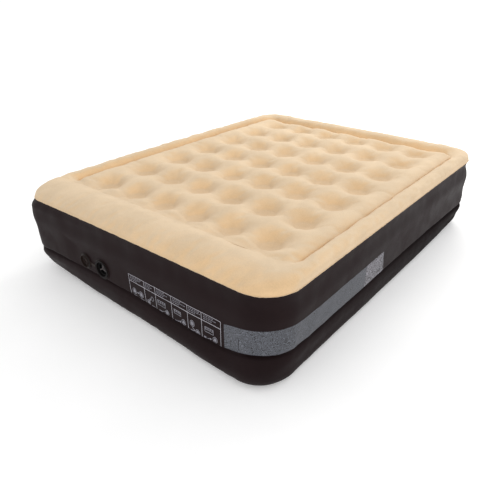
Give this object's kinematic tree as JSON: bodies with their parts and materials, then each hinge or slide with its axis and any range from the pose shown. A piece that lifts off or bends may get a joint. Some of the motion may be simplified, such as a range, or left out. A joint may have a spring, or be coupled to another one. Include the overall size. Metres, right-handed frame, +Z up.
{
  "type": "raised air mattress",
  "caption": "Raised inflatable bed with a dimpled flocked top, a border tube, a pinched side wall, upright inner beams, a screw-in air valve and a tethered cap.",
  "frame": {"origin": "on the floor under the middle of the bed's seam outline", "axes": "+Z up, X along the short side, Y along the long side, with the air valve on the -Y end"},
  "size_m": [1.5773, 2.058, 0.458],
  "materials": {
    "flock": "short velvety flock",
    "vinyl": "satin, fine grain",
    "inner_vinyl": "satin",
    "valve_plastic": "moulded, satin",
    "soft_rubber": "matte"
  },
  "bodies": {
    "envelope": {"side_wall": "vinyl", "base_sheet": "vinyl", "base_seam": "vinyl", "border_web": "inner_vinyl", "waist_web": "inner_vinyl", "coil_beam_r1c1": "inner_vinyl", "coil_beam_r1c2": "inner_vinyl", "coil_beam_r1c3": "inner_vinyl", "coil_beam_r1c4": "inner_vinyl", "coil_beam_r1c5": "inner_vinyl", "coil_beam_r1c6": "inner_vinyl", "coil_beam_r2c1": "inner_vinyl", "coil_beam_r2c2": "inner_vinyl", "coil_beam_r2c3": "inner_vinyl", "coil_beam_r2c4": "inner_vinyl", "coil_beam_r2c5": "inner_vinyl", "coil_beam_r2c6": "inner_vinyl", "coil_beam_r3c1": "inner_vinyl", "coil_beam_r3c2": "inner_vinyl", "coil_beam_r3c3": "inner_vinyl", "coil_beam_r3c4": "inner_vinyl", "coil_beam_r3c5": "inner_vinyl", "coil_beam_r3c6": "inner_vinyl", "coil_beam_r4c1": "inner_vinyl", "coil_beam_r4c2": "inner_vinyl", "coil_beam_r4c3": "inner_vinyl", "coil_beam_r4c4": "inner_vinyl", "coil_beam_r4c5": "inner_vinyl", "coil_beam_r4c6": "inner_vinyl", "coil_beam_r5c1": "inner_vinyl", "coil_beam_r5c2": "inner_vinyl", "coil_beam_r5c3": "inner_vinyl", "coil_beam_r5c4": "inner_vinyl", "coil_beam_r5c5": "inner_vinyl", "coil_beam_r5c6": "inner_vinyl", "coil_beam_r6c1": "inner_vinyl", "coil_beam_r6c2": "inner_vinyl", "coil_beam_r6c3": "inner_vinyl", "coil_beam_r6c4": "inner_vinyl", "coil_beam_r6c5": "inner_vinyl", "coil_beam_r6c6": "inner_vinyl", "coil_beam_r7c1": "inner_vinyl", "coil_beam_r7c2": "inner_vinyl", "coil_beam_r7c3": "inner_vinyl", "coil_beam_r7c4": "inner_vinyl", "coil_beam_r7c5": "inner_vinyl", "coil_beam_r7c6": "inner_vinyl"},
    "top": {"top_sheet": "flock", "top_seam": "flock"},
    "valve": {"valve_patch": "vinyl", "valve_neck": "valve_plastic", "tether_loop": "valve_plastic"},
    "insert": {"valve_insert": "valve_plastic", "insert_o_ring": "soft_rubber"},
    "flap": {"flap_disc": "soft_rubber", "flap_stem": "soft_rubber"},
    "cap": {"valve_cap": "valve_plastic", "cap_o_ring": "soft_rubber", "cap_tether": "valve_plastic"}
  },
  "joints": [
    {"name": "deflate", "type": "slide", "parent": "envelope", "child": "top", "axis": [0, 0, 1], "range_m": [-0.27, 0], "stiffness_N_per_m": 9000, "deforming": ["side_wall", "border_web", "waist_web", "coil_beam_r1c1", "coil_beam_r1c2", "coil_beam_r1c3", "coil_beam_r1c4", "coil_beam_r1c5", "coil_beam_r1c6", "coil_beam_r2c1", "coil_beam_r2c2", "coil_beam_r2c3", "coil_beam_r2c4", "coil_beam_r2c5", "coil_beam_r2c6", "coil_beam_r3c1", "coil_beam_r3c2", "coil_beam_r3c3", "coil_beam_r3c4", "coil_beam_r3c5", "coil_beam_r3c6", "coil_beam_r4c1", "coil_beam_r4c2", "coil_beam_r4c3", "coil_beam_r4c4", "coil_beam_r4c5", "coil_beam_r4c6", "coil_beam_r5c1", "coil_beam_r5c2", "coil_beam_r5c3", "coil_beam_r5c4", "coil_beam_r5c5", "coil_beam_r5c6", "coil_beam_r6c1", "coil_beam_r6c2", "coil_beam_r6c3", "coil_beam_r6c4", "coil_beam_r6c5", "coil_beam_r6c6", "coil_beam_r7c1", "coil_beam_r7c2", "coil_beam_r7c3", "coil_beam_r7c4", "coil_beam_r7c5", "coil_beam_r7c6"]},
    {"name": "valve_lower", "type": "slide", "parent": "envelope", "child": "valve", "axis": [0, 0, 1], "range_m": [-0.13, 0]},
    {"name": "insert_twist", "type": "hinge", "parent": "valve", "child": "insert", "pos_m": [-0.19, -1.012, 0.19], "axis": [0, -1, 0], "range_deg": [0, 90]},
    {"name": "flap_open", "type": "slide", "parent": "insert", "child": "flap", "axis": [0, 1, 0], "range_m": [0, 0.005], "stiffness_N_per_m": 60},
    {"name": "cap_swing", "type": "hinge", "parent": "valve", "child": "cap", "pos_m": [-0.25125, -1.01815, 0.19], "axis": [0, 0, 1], "range_deg": [0, 180]}
  ],
  "couplings": [
    {"joint": "valve_lower", "follows": "deflate", "ratio": 0.4623}
  ]
}
